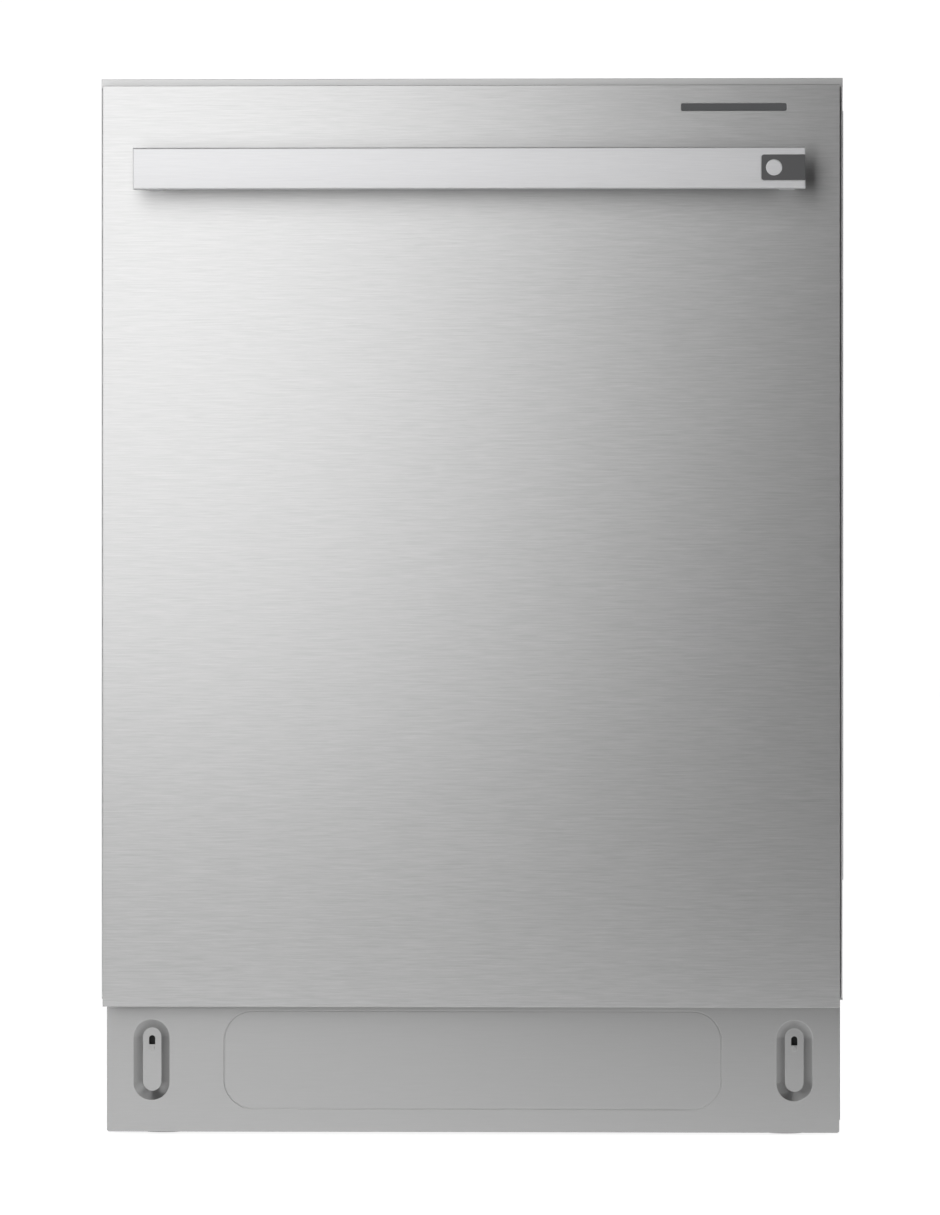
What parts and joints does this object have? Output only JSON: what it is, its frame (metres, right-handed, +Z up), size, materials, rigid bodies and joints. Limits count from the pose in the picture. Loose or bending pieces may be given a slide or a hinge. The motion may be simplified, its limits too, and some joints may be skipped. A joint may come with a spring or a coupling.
{
  "type": "built-in dishwasher",
  "caption": "Built-in dishwasher with a drop-down stainless door, bar handle and recessed toe-kick, holding sliding racks, spray arms, pumps and filters in a steel tub.",
  "frame": {"origin": "centre of the footprint, on the floor", "axes": "+Z up, +X to the right seen from the front, the door faces -Y"},
  "size_m": [0.6028, 0.615, 0.859],
  "materials": {
    "brushed_stainless": "brushed",
    "satin_handle": "satin",
    "bright_stainless": "satin",
    "satin_kick": "satin",
    "galvanised": "satin",
    "smoked_lens": "gloss",
    "dark_inlay": "satin",
    "black_rubber": "matte",
    "felt": "matte",
    "black_plastic": "matte",
    "white_plastic": "satin",
    "grey_plastic": "satin",
    "button_metal": "satin",
    "spring_steel": "satin",
    "coated_wire": "satin",
    "foot_plastic": "matte"
  },
  "bodies": {
    "cabinet": {"front_frame": "bright_stainless", "side_trim_strips": "black_rubber", "tub_sides": "bright_stainless", "tub_ceiling": "bright_stainless", "tub_back": "bright_stainless", "tub_bottom": "bright_stainless", "tub_gasket": "black_rubber", "insulation_mat": "felt", "side_panels": "galvanised", "back_panel": "galvanised", "base_tray": "black_plastic", "toe_kick": "satin_kick", "counter_tabs": "bright_stainless", "striker": "bright_stainless", "hinge_brackets": "galvanised", "door_springs": "spring_steel", "sump": "black_plastic", "coarse_filter": "bright_stainless", "circulation_pump": "black_plastic", "drain_pump": "black_plastic", "drain_outlet": "black_plastic", "inlet_valve": "white_plastic", "power_box": "galvanised", "control_module": "black_plastic", "feed_pipe": "white_plastic", "rack_rails": "galvanised"},
    "door": {"door_outer_panel": "brushed_stainless", "door_inner_panel": "bright_stainless", "door_insulation": "felt", "handle_bar": "satin_handle", "handle_posts": "satin_handle", "handle_inlay": "dark_inlay", "inlay_disc": "satin_handle", "display_window": "smoked_lens", "control_strip": "black_plastic", "door_lock": "black_plastic", "dispenser": "grey_plastic", "hinge_arms": "galvanised", "door_bottom_seal": "black_rubber"},
    "power_button": {"power_button": "button_metal"},
    "program_button": {"program_button": "button_metal"},
    "start_button": {"start_button": "button_metal"},
    "lock_bolt": {"lock_bolt": "spring_steel"},
    "detergent_lid": {"detergent_lid": "grey_plastic"},
    "rinse_aid_cap": {"rinse_aid_cap": "grey_plastic"},
    "filter_cylinder": {"filter_cylinder": "white_plastic"},
    "pump_impeller": {"pump_impeller": "white_plastic"},
    "middle_rails": {"middle_rails": "galvanised"},
    "upper_rack": {"upper_rack": "coated_wire", "rack_feed_tube": "white_plastic"},
    "mid_spray_arm": {"mid_spray_arm": "bright_stainless"},
    "cutlery_tray": {"cutlery_tray": "coated_wire"},
    "lower_rack": {"lower_rack": "coated_wire"},
    "front_wheels": {"front_wheels": "white_plastic"},
    "rear_wheels": {"rear_wheels": "white_plastic"},
    "cutlery_basket": {"cutlery_basket": "white_plastic"},
    "lower_spray_arm": {"lower_spray_arm": "bright_stainless"},
    "front_foot_left": {"front_foot_left": "foot_plastic"},
    "front_foot_right": {"front_foot_right": "foot_plastic"},
    "rear_feet": {"rear_feet": "foot_plastic"}
  },
  "joints": [
    {"name": "door_hinge", "type": "hinge", "parent": "cabinet", "child": "door", "pos_m": [0, -0.2185, 0.117], "axis": [1, 0, 0], "range_deg": [0, 90], "stiffness_Nm_per_rad": 28},
    {"name": "power_button_press", "type": "slide", "parent": "door", "child": "power_button", "axis": [0, 0, -1], "range_m": [0, 0.0015], "stiffness_N_per_m": 400},
    {"name": "program_button_press", "type": "slide", "parent": "door", "child": "program_button", "axis": [0, 0, -1], "range_m": [0, 0.0015], "stiffness_N_per_m": 400},
    {"name": "start_button_press", "type": "slide", "parent": "door", "child": "start_button", "axis": [0, 0, -1], "range_m": [0, 0.0015], "stiffness_N_per_m": 400},
    {"name": "lock_bolt_slide", "type": "slide", "parent": "door", "child": "lock_bolt", "axis": [0, 0, 1], "range_m": [0, 0.004], "stiffness_N_per_m": 300},
    {"name": "detergent_lid_slide", "type": "slide", "parent": "door", "child": "detergent_lid", "axis": [1, 0, 0], "range_m": [0, 0.062]},
    {"name": "rinse_aid_cap_turn", "type": "hinge", "parent": "door", "child": "rinse_aid_cap", "pos_m": [0.042, -0.1975, 0.487], "axis": [0, -1, 0], "range_deg": [0, 90]},
    {"name": "upper_rack_slide", "type": "slide", "parent": "middle_rails", "child": "upper_rack", "axis": [0, -1, 0], "range_m": [0, 0.22505]},
    {"name": "middle_rails_slide", "type": "slide", "parent": "cabinet", "child": "middle_rails", "axis": [0, -1, 0], "range_m": [0, 0.22505]},
    {"name": "cutlery_tray_slide", "type": "slide", "parent": "cabinet", "child": "cutlery_tray", "axis": [0, -1, 0], "range_m": [0, 0.4501]},
    {"name": "lower_rack_slide", "type": "slide", "parent": "cabinet", "child": "lower_rack", "axis": [0, -1, 0], "range_m": [0, 0.1886]},
    {"name": "front_wheels_roll", "type": "hinge", "parent": "lower_rack", "child": "front_wheels", "pos_m": [0, -0.0485, 0.1573], "axis": [1, 0, 0], "range_deg": [0, 636]},
    {"name": "rear_wheels_roll", "type": "hinge", "parent": "lower_rack", "child": "rear_wheels", "pos_m": [0, 0.2075, 0.1573], "axis": [1, 0, 0], "range_deg": [0, 636]},
    {"name": "cutlery_basket_lift", "type": "slide", "parent": "lower_rack", "child": "cutlery_basket", "axis": [0, 0, 1], "range_m": [0, 0.1]},
    {"name": "mid_spray_arm_spin", "type": "hinge", "parent": "upper_rack", "child": "mid_spray_arm", "pos_m": [0, 0.0405, 0.455], "axis": [0, 0, 1], "continuous": true},
    {"name": "lower_spray_arm_spin", "type": "hinge", "parent": "cabinet", "child": "lower_spray_arm", "pos_m": [0, 0.0405, 0.154], "axis": [0, 0, 1], "continuous": true},
    {"name": "filter_turn", "type": "hinge", "parent": "cabinet", "child": "filter_cylinder", "pos_m": [0, -0.0235, 0.133], "axis": [0, 0, 1], "range_deg": [0, 90]},
    {"name": "pump_impeller_spin", "type": "hinge", "parent": "cabinet", "child": "pump_impeller", "pos_m": [-0.16, 0.0805, 0.072], "axis": [-1, 0, 0], "continuous": true},
    {"name": "front_foot_left_height", "type": "slide", "parent": "cabinet", "child": "front_foot_left", "axis": [0, 0, -1], "range_m": [0, 0.045]},
    {"name": "front_foot_right_height", "type": "slide", "parent": "cabinet", "child": "front_foot_right", "axis": [0, 0, -1], "range_m": [0, 0.045]},
    {"name": "rear_feet_height", "type": "slide", "parent": "cabinet", "child": "rear_feet", "axis": [0, 0, -1], "range_m": [0, 0.045]}
  ],
  "couplings": [
    {"joint": "middle_rails_slide", "follows": "door_hinge", "m_per_rad": 0.14325},
    {"joint": "upper_rack_slide", "follows": "door_hinge", "m_per_rad": 0.14325},
    {"joint": "cutlery_tray_slide", "follows": "door_hinge", "m_per_rad": 0.2865},
    {"joint": "lower_rack_slide", "follows": "door_hinge", "m_per_rad": 0.12},
    {"joint": "front_wheels_roll", "follows": "door_hinge", "ratio": 7.0588},
    {"joint": "rear_wheels_roll", "follows": "door_hinge", "ratio": 7.0588}
  ]
}
